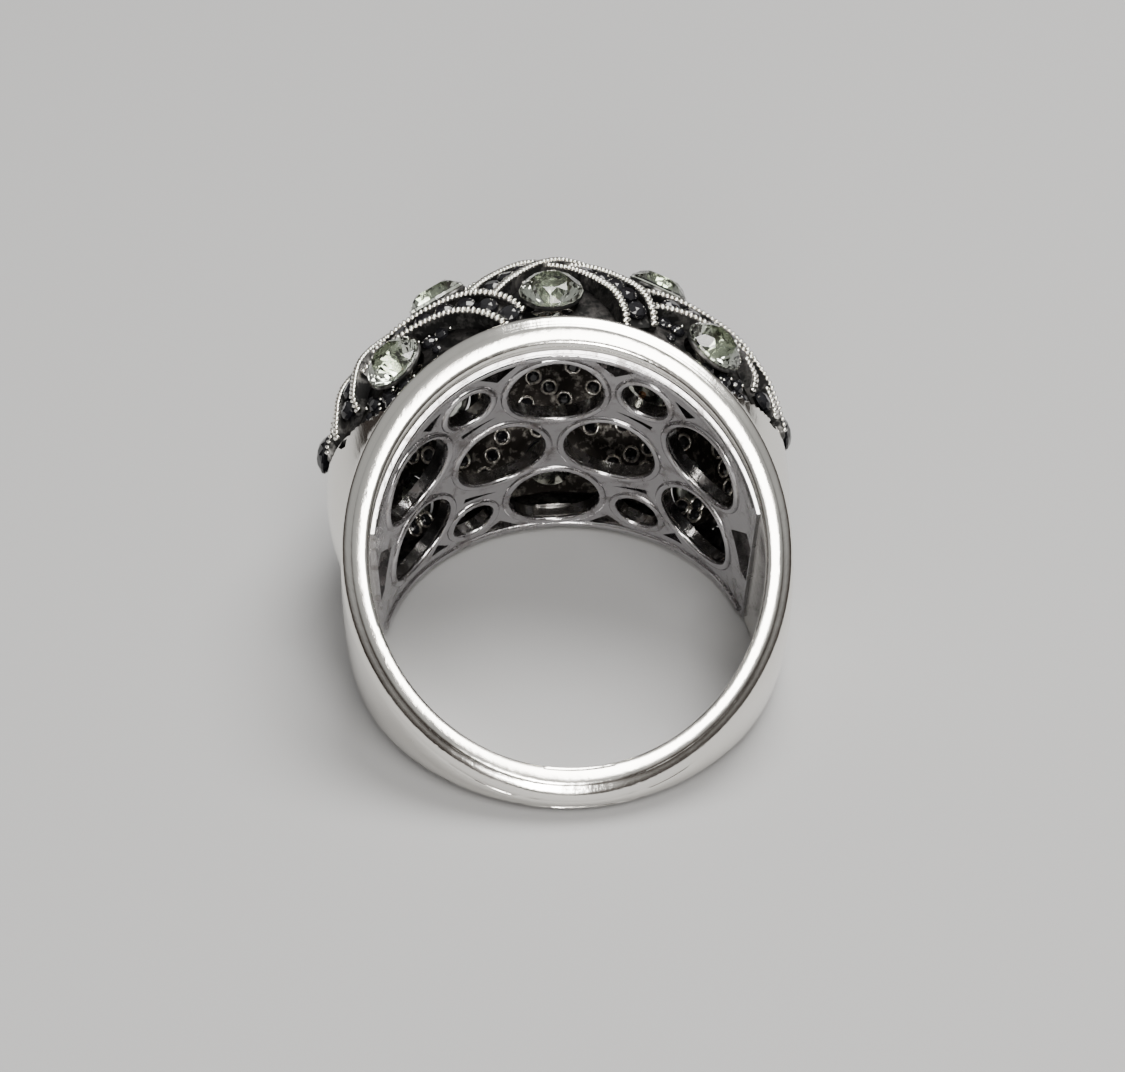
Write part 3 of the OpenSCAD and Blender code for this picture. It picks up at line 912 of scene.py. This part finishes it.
for family, label in ((1, "rising"), (-1, "falling")):
    for number, line in enumerate(LINES, 1):
        channel = ribbon_channel(f"channel_{label}_{number}", family, line)
        mill(channel, under_head())
        hand_in(channel, "beaded_rail_metal", f"ribbon_{label}_{number}")
        beads = ribbon_beads(f"milgrain_{label}_{number}", family, line, number)
        hand_in(beads, "beaded_rail_metal")
        print(label, number, "channel", len(channel.data.polygons), "beads", len(beads.data.polygons) // 40)

# %% [markdown]
# ## Cut stones
# Round stones are cut in eight-fold symmetry: a flat table, star and kite facets
# down to the girdle, and a pointed back. The points are worked out so that every
# kite is truly flat, because a bent facet would smear its reflection.


# %% Points and facets of a round cut
def brilliant(d, crown, girdle, back, table=0.56, middle=0.78):
    """Points and faces of a stone with its girdle's top edge at height 0."""
    r = d / 2
    c8 = math.cos(math.pi / 8)

    def ring(radius, z, count, start=0.0):
        return [(radius * math.cos(t), radius * math.sin(t), z)
                for t in (start + 2 * math.pi * i / count for i in range(count))]

    points = ring(table * r, crown, 8)
    points += ring(middle * r, crown * (1 - middle * c8) / (1 - table), 8, math.pi / 8)
    points += ring(r, 0.0, 16) + ring(r, -girdle, 16)
    faces = [tuple(range(8))]
    for i in range(8):
        j = (i + 1) % 8
        g = 16 + 2 * i
        h = 16 + (2 * i + 2) % 16
        faces += [(i, 8 + i, j), (i, 8 + (i - 1) % 8, g, 8 + i), (8 + i, g, g + 1), (8 + i, g + 1, h)]
    for i in range(16):
        j = (i + 1) % 16
        faces.append((16 + i, 32 + i, 32 + j, 16 + j))
    if back:
        low = 0.3
        points += ring(low * r, -girdle - back * (1 - low * c8), 8, math.pi / 8)
        points.append((0, 0, -girdle - back))
        for i in range(8):
            g = 32 + 2 * i
            h = 32 + (2 * i + 2) % 16
            faces += [(56, 48 + i, g, 48 + (i - 1) % 8), (48 + i, g + 1, g), (48 + i, h, g + 1)]
    else:
        faces.append(tuple(32 + i for i in reversed(range(16))))
    return points, faces


def foil_cup(d, girdle, back):
    """A thin cup just behind a stone's pointed back, with the faces round its tip listed last."""
    points, body, tip = [], [], []
    c8 = math.cos(math.pi / 8)
    for grow in (1.012, 1.05):
        r, base = d / 2 * grow, len(points)
        ring = [(r * math.cos(math.pi * i / 8), r * math.sin(math.pi * i / 8), -girdle) for i in range(16)]
        end = Vector((0, 0, -girdle - back * grow))
        low = [Vector((0.3 * r * math.cos(t), 0.3 * r * math.sin(t), -girdle - back * grow * (1 - 0.3 * c8)))
               for t in (math.pi / 8 + math.pi * i / 4 for i in range(8))]
        points += ring + [tuple(p) for p in low] + [tuple(end.lerp(p, 0.5)) for p in low] + [tuple(end)]
        for i in range(8):
            g, h, k = base + 2 * i, base + (2 * i + 2) % 16, (i - 1) % 8
            body += [(base + 16 + k, g, base + 16 + i, base + 24 + i, base + 24 + k),
                     (base + 16 + i, g, g + 1), (base + 16 + i, g + 1, h)]
            tip.append((base + 32, base + 24 + k, base + 24 + i))
    body += [(i, (i + 1) % 16, 33 + (i + 1) % 16, 33 + i) for i in range(16)]
    return points, body + tip, len(body)


def set_stone(name, u, v, lift, spin, shape, finish):
    points, faces = shape[:2]
    middle, up = dome_point(u, v, lift), dome_up(u, v)
    x, y, z = stone_frame(up, line_way(1, u, v))
    c, s = math.cos(spin), math.sin(spin)
    placed = [tuple(middle + (c * p[0] - s * p[1]) * x + (s * p[0] + c * p[1]) * y + p[2] * z) for p in points]
    return mesh_piece(name, placed, faces, finish, smooth=False)


# %% Crystals in their seats
CRYSTAL_D, CRYSTAL_SEAT = 2.9, 0.6
girdle_top = CRYSTAL_SEAT + 0.05 * CRYSTAL_D
crystal_cut = brilliant(CRYSTAL_D, 0.17 * CRYSTAL_D, 0.05 * CRYSTAL_D, 0.42 * CRYSTAL_D)
crystal_foil = foil_cup(CRYSTAL_D, 0.05 * CRYSTAL_D, 0.42 * CRYSTAL_D)
random.seed(11)
for name, (u, v) in CRYSTALS.items():
    spin = random.uniform(0, 0.78)
    stone = set_stone(f"cut_crystal_{name}", u, v, girdle_top, spin, crystal_cut, smoke)
    hand_in(stone, "smoky_crystal", f"crystal_{name}")
    cup = set_stone(f"crystal_foil_{name}", u, v, girdle_top, spin, crystal_foil, silver_foil)
    cup.data.materials.append(brown_foil)
    for face in cup.data.polygons:
        face.material_index = 1 if face.index >= crystal_foil[2] else 0
    hand_in(cup, "smoky_crystal")
print("crystals:", len(CRYSTALS), "each with", len(crystal_cut[1]), "facets")

# %% Collet round each crystal
wires = []
for u, v in CRYSTALS.values():
    middle, up = dome_point(u, v, girdle_top - 0.3), dome_up(u, v)
    x, y, _ = stone_frame(up, line_way(1, u, v))
    wires.append((circle_at(middle, x, y, CRYSTAL_D / 2 - 0.06, 48), True))
collets = guide("crystal_collets", wires)
# The collets take the dark rail tone: painted shade round each crystal's girdle.
bake_tree(collets, sweep, **{"Half Width": 0.00013, "Step": 0.0002, "Finish": shaded_rail_metal})
hand_in(collets, "dark_metal")
print("collets:", len(collets.data.polygons), "faces")

# %% [markdown]
# ## Black stones
# About 250 small stones repeat one cut, so one low faceted template is instanced
# on guide points. Each point knows its outward direction, each set of stones shares
# one size, and a seeded turn keeps two neighbours from flashing alike.

# %% Setting tree
setting = geometry_tree("set stones on points", (
    ("Stone", "Object", None), ("Diameter", "Float", 0.001),
    ("Tilt", "Float", 0.06), ("Seed", "Int", 5),
    ("Finish", "Material", None)))
g_in, g_out = add(setting, "NodeGroupInput"), add(setting, "NodeGroupOutput")
template = add(setting, "GeometryNodeObjectInfo", transform_space="ORIGINAL")
template.inputs["As Instance"].default_value = True
g_up = add(setting, "GeometryNodeInputNamedAttribute", data_type="FLOAT_VECTOR")
g_up.inputs["Name"].default_value = "up"
g_axes = add(setting, "FunctionNodeAxesToRotation", primary_axis="Z", secondary_axis="X")
g_axes.inputs[1].default_value = (1, 0, 0)
g_stand = add(setting, "GeometryNodeInstanceOnPoints")
g_turn = add(setting, "FunctionNodeRandomValue", data_type="FLOAT_VECTOR")
g_high = add(setting, "ShaderNodeCombineXYZ")
g_high.inputs["Z"].default_value = 0.8
g_low = add(setting, "ShaderNodeVectorMath", operation="SCALE")
g_low.inputs["Scale"].default_value = -1.0
g_tilt = add(setting, "GeometryNodeRotateInstances")
g_real = add(setting, "GeometryNodeRealizeInstances")
g_paint = add(setting, "GeometryNodeSetMaterial")
connect(setting, (
    (g_in, "Geometry", g_stand, "Points"),
    (g_in, "Stone", template, "Object"),
    (template, "Geometry", g_stand, "Instance"),
    (g_up, "Attribute", g_axes, 0),
    (g_axes, 0, g_stand, "Rotation"),
    (g_in, "Diameter", g_stand, "Scale"),
    (g_in, "Tilt", g_high, "X"),
    (g_in, "Tilt", g_high, "Y"),
    (g_high, 0, g_low, 0),
    (g_low, 0, g_turn, 0),
    (g_high, 0, g_turn, 1),
    (g_in, "Seed", g_turn, "Seed"),
    (g_stand, 0, g_tilt, "Instances"),
    (g_turn, 0, g_tilt, "Rotation"),
    (g_tilt, 0, g_real, 0),
    (g_real, 0, g_paint, "Geometry"),
    (g_in, "Finish", g_paint, "Material"),
    (g_paint, 0, g_out, 0),
))


# %% Templates: one unit wide, drawn in metres
def template_stone(name, points, faces):
    mesh = bpy.data.meshes.new(name)
    mesh.from_pydata(points, [], faces)
    mesh.update()
    stone = bpy.data.objects.new(name, mesh)
    bpy.context.scene.collection.objects.link(stone)
    return stone


black_cut = template_stone("black_cut", *brilliant(1.0, 0.2, 0.2, 0.0, 0.5, 0.76))
print("black stone template:", len(black_cut.data.polygons), "faces")


# %% Where the black stones sit
def stone_columns(family, line, pitch=1.14):
    """Columns one pitch apart over the dome, from a ribbon's start to its end."""
    columns, u, end = [], first_column(family, line), final_column(family, line)
    while u <= end:
        columns.append(u)
        here = dome_point(u, row_of(family, line, u))
        there = dome_point(u + 0.01, row_of(family, line, u + 0.01))
        u += pitch / ((there - here).length / 0.01)
    return columns


def in_head(u, v, reach):
    p = dome_point(u, v)
    return (p.y > HEAD_END_Y + reach and abs(p.z) < rim_at(p.y) - reach - 0.35
            and math.hypot(p.x, p.y - SHANK_RISE) > SHANK_R + reach * 0.6)


def ribbon_places(family, line, d=1.05):
    places, runs = [], stretches(family, line)
    for u in stone_columns(family, line):
        v = row_of(family, line, u)
        here = dome_point(u, v)
        clear = min([99.0] + [(here - dome_point(c, row_of(family, line, c))).length for o in LINES
                              if not passes_over(family, line, o) for c in [crossing(family, line, o)]])
        if any(a < u < b for a, b in runs) and in_head(u, v, d / 2) and clear > (RIBBON_W + d) / 2 + 0.1:
            places.append((u, v, FLOOR_H + 0.25 + ribbon_lift(family, line, u)))
    return places


def in_cell(a, b, u, v):
    """A cell between the ribbons ends half-way to its neighbours."""
    return max(abs(2 * (b - v) - (a - u)), abs(2 * (b - v) + (a - u))) < 1


def off_ribbons(a, b, d):
    clear = min(abs(2 * b - f * a - o) * cell_width(a, b) / 2 for f in (-1, 1) for o in LINES)
    return clear > (RIBBON_W + d) / 2


def pave_places(u, v, d=0.74, pitch=0.8):
    hub = 0.0 if abs(u) == 2 and v == 0 else (CRYSTAL_D + d) / 2 + 0.1
    per_column, per_row = spans(u, v)
    places = []
    for ring in range(4):
        r = hub + ring * pitch
        count = max(1, int(2 * math.pi * r / (pitch + 0.02)))
        for i in range(1, count + 1):
            t = 2 * math.pi * i / count
            a, b = u + r * math.cos(t) / per_column, v + r * math.sin(t) / per_row
            if in_cell(a, b, u, v) and off_ribbons(a, b, d) and in_head(a, b, d / 2):
                places.append((a, b, 0.14))
    return places


def set_stones(name, places, d, seed):
    wire = guide(name, [([tuple(dome_point(u, v, lift))], False) for u, v, lift in places],
                 [("up", [dome_up(u, v) for u, v, _ in places])])
    bake_tree(wire, setting,
              **{"Stone": black_cut, "Diameter": d / 1000, "Tilt": 0.07, "Seed": seed, "Finish": jet})
    return wire


# %% Set them
count = 0
seed = 20
for family, label in ((1, "rising"), (-1, "falling")):
    for number, line in enumerate(LINES, 1):
        places = ribbon_places(family, line)
        piece = set_stones(f"ribbon_stones_{label}_{number}", places, 1.05, seed)
        hand_in(piece, "black_stone", f"stones_{label}_{number}")
        count, seed = count + len(places), seed + 1
cells = dict(CRYSTALS, left_end=(-2, 0), right_end=(2, 0))
for name, (u, v) in cells.items():
    places = pave_places(u, v)
    piece = set_stones(f"pave_stones_{name}", places, 0.74, seed)
    hand_in(piece, "black_stone", f"pave_{name}")
    count, seed = count + len(places), seed + 1
print("ribbon and pave stones:", count)

# %% [markdown]
# Between the set stones a jeweller packs still smaller ones, and tiny raised grains
# of metal hold the stones. The smallest only fill what is left: their places are tried
# on a fine grid and kept where nothing else stands; two grains flank each pavé stone.


# %% Smallest stones and the grains that hold them
FILLING_D = 0.48


def filling(u, v, d=FILLING_D, pitch=0.5):
    taken = [(dome_point(a, b), 0.74) for a, b, _ in pave_places(u, v)]
    if not (abs(u) == 2 and v == 0):
        taken.append((dome_point(u, v), CRYSTAL_D + 0.25))
    per_column, per_row = spans(u, v)
    places = []
    for i in range(-12, 13):
        for j in range(-14, 15):
            a, b = u + (i + 0.5 * (j % 2)) * pitch / per_column, v + j * pitch * 0.87 / per_row
            if not in_cell(a, b, u, v) or not in_head(a, b, d / 2 - 0.1):
                continue
            here = dome_point(a, b)
            if off_ribbons(a, b, d) and all((here - p).length > (d + e) / 2 for p, e in taken):
                places.append((a, b, 0.1))
    return places


grit = [spot for place in cells.values() for spot in filling(*place)]
piece = set_stones("pave_filling", grit, FILLING_D, 90)
hand_in(piece, "black_stone")
sphere = bmesh.new()
bmesh.ops.create_uvsphere(sphere, u_segments=6, v_segments=4, radius=0.5)
for face in sphere.faces:
    face.smooth = True
grain_mesh = bpy.data.meshes.new("grain")
sphere.to_mesh(grain_mesh)
sphere.free()
grain = bpy.data.objects.new("grain", grain_mesh)
bpy.context.scene.collection.objects.link(grain)
held = [(u, v) for place in cells.values() for u, v, _ in pave_places(*place)]
grains = []
GRAIN_REACH = 0.47  # from a small stone's middle to the grains that hold it
random.seed(4)
for u, v in held:
    start = random.uniform(0, 1.5)
    per_column, per_row = spans(u, v)
    for k in range(2):
        t = start + k * math.pi
        grains.append((u + GRAIN_REACH * math.cos(t) / per_column, v + GRAIN_REACH * math.sin(t) / per_row, 0.2))
wire = guide("setting_grains", [([tuple(dome_point(u, v, lift))], False) for u, v, lift in grains],
             [("up", [dome_up(u, v) for u, v, _ in grains])])
bake_tree(wire, setting, **{"Stone": grain, "Diameter": 0.00017, "Tilt": 0.3, "Seed": 91, "Finish": bead_metal})
hand_in(wire, "beaded_rail_metal")
bpy.data.objects.remove(grain)
print("filling stones:", len(grit), "grains:", len(grains))

# %% Round stone at each end of the head
END_COLUMN, END_LIFT = 2.36, 0.85
end_cut = brilliant(1.9, 0.32, 0.095, 0.8)
for name, side in (("left", -1), ("right", 1)):
    stone = set_stone(f"end_stone_cut_{name}", side * END_COLUMN, 0, END_LIFT, 0.2, end_cut, jet)
    hand_in(stone, "black_stone", f"end_stone_{name}")
print("end stones set")

# %% [markdown]
# ## Openings under the stones
# Inside the dome each small stone shows as a round opening with a dark point in it;
# its worn metal edge is lighter, as painted highlight. They are seen only through the gallery plate.

# %% Collars and dark points inside the dome
inside_rings = []
spots = [p for f in (1, -1) for line in LINES for p in ribbon_places(f, line)]
spots += [p for place in cells.values() for p in pave_places(*place)]
for u, v, _ in spots:
    middle, up = dome_point(u, v, -DOME_WALL - 0.01), dome_up(u, v)
    x, y, _ = stone_frame(up, line_way(1, u, v))
    inside_rings.append((circle_at(middle, x, y, 0.4, 10), True))
openings_inside = guide("dome_openings", inside_rings)
# The rims take the lighter worn-rim tone: worn edges with painted highlight round each opening.
bake_tree(openings_inside, sweep, **{"Half Width": 0.00009, "Step": 0.00018, "Finish": worn_rim_highlight_metal})
hand_in(openings_inside, "dark_metal")
points = guide("stone_points", [([tuple(dome_point(u, v, -DOME_WALL))], False) for u, v, _ in spots],
               [("up", [-dome_up(u, v) for u, v, _ in spots])])
bake_tree(points, setting, **{"Stone": black_cut, "Diameter": 0.00072, "Tilt": 0.05, "Seed": 77, "Finish": jet})
hand_in(points, "black_stone")
bpy.data.objects.remove(black_cut)
print("openings inside the dome:", len(spots))

# %% [markdown]
# ## Floor, light and camera
# A plain pale floor, a large soft light overhead and two weaker ones from the
# front show the polish. The camera looks down at the open finger hole.

# %% Floor
floor_z = cad_box[0][2]
mesh = bpy.data.meshes.new("floor")
mesh.from_pydata([(-0.6, -0.6, floor_z), (0.6, -0.6, floor_z), (0.6, 0.6, floor_z), (-0.6, 0.6, floor_z)], [],
                 [(0, 1, 2, 3)])
floor = bpy.data.objects.new("floor", mesh)
bpy.context.scene.collection.objects.link(floor)
paper = bpy.data.materials.new("pale paper")
paper.use_nodes = True
paper_shader = paper.node_tree.nodes["Principled BSDF"]
paper_shader.inputs["Base Color"].default_value = (0.325, 0.325, 0.33, 1)
paper_shader.inputs["Roughness"].default_value = 0.85
mesh.materials.append(paper)
floor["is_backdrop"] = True


# %% Soft lights and the room
def soft_light(name, place, aim, size, power, tone=(1, 1, 1)):
    light = bpy.data.lights.new(name, "AREA")
    light.shape = "DISK"
    light.size = size
    light.energy = power
    light.color = tone
    lamp = bpy.data.objects.new(name, light)
    lamp.location = place
    lamp.rotation_euler = (Vector(aim) - Vector(place)).to_track_quat("-Z", "Y").to_euler()
    bpy.context.scene.collection.objects.link(lamp)
    return lamp


soft_light("overhead", (0.10, 0.10, 0.34), (0, 0, 0), 0.24, 2.4, (1.0, 0.985, 0.95))
soft_light("front", (0.05, -0.20, 0.30), (0, 0, 0.005), 0.18, 1.2, (1.0, 0.975, 0.93))
soft_light("low front", (-0.04, -0.34, 0.13), (0, 0.01, 0.004), 0.10, 0.7, (1.0, 0.98, 0.95))
world = bpy.data.worlds.new("room")
world.use_nodes = True
bpy.context.scene.world = world
room = world.node_tree
sky = room.nodes["Background"]
direction = room.nodes.new("ShaderNodeTexCoord")
split = room.nodes.new("ShaderNodeSeparateXYZ")
ramp = room.nodes.new("ShaderNodeValToRGB")
ramp.color_ramp.elements[0].position = 0.0
ramp.color_ramp.elements[0].color = (0.05, 0.04, 0.035, 1)
ramp.color_ramp.elements[1].position = 0.85
ramp.color_ramp.elements[1].color = (0.85, 0.85, 0.83, 1)
for height, tone in ((0.22, (0.10, 0.08, 0.07, 1)), (0.45, (0.42, 0.41, 0.40, 1)), (0.62, (0.75, 0.75, 0.74, 1))):
    ramp.color_ramp.elements.new(height).color = tone
room.links.new(direction.outputs["Generated"], split.inputs[0])
room.links.new(split.outputs["Z"], ramp.inputs["Fac"])
room.links.new(ramp.outputs["Color"], sky.inputs["Color"])
sky.inputs["Strength"].default_value = 0.5

# %% Camera
eye = bpy.data.cameras.new("eye")
eye.lens = 80
eye.sensor_width = 36
eye.clip_start = 0.001
camera = bpy.data.objects.new("eye", eye)
view = (Matrix.Rotation(math.radians(51.48), 4, "X") @ Matrix.Rotation(math.radians(-2.526), 4, "Y")
        @ Matrix.Rotation(math.radians(-2.959), 4, "Z"))
camera.matrix_world = Matrix.Translation((-0.005216, -0.089785, 0.075523)) @ view
bpy.context.scene.collection.objects.link(camera)
bpy.context.scene.camera = camera

# %% Sizes, then finish
seen_box = [list(corner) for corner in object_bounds()]
for label, corners in (("frame", cad_box), ("visual", seen_box)):
    print(label, "box in mm:", [[round(v * 1000, 2) for v in corner] for corner in corners])
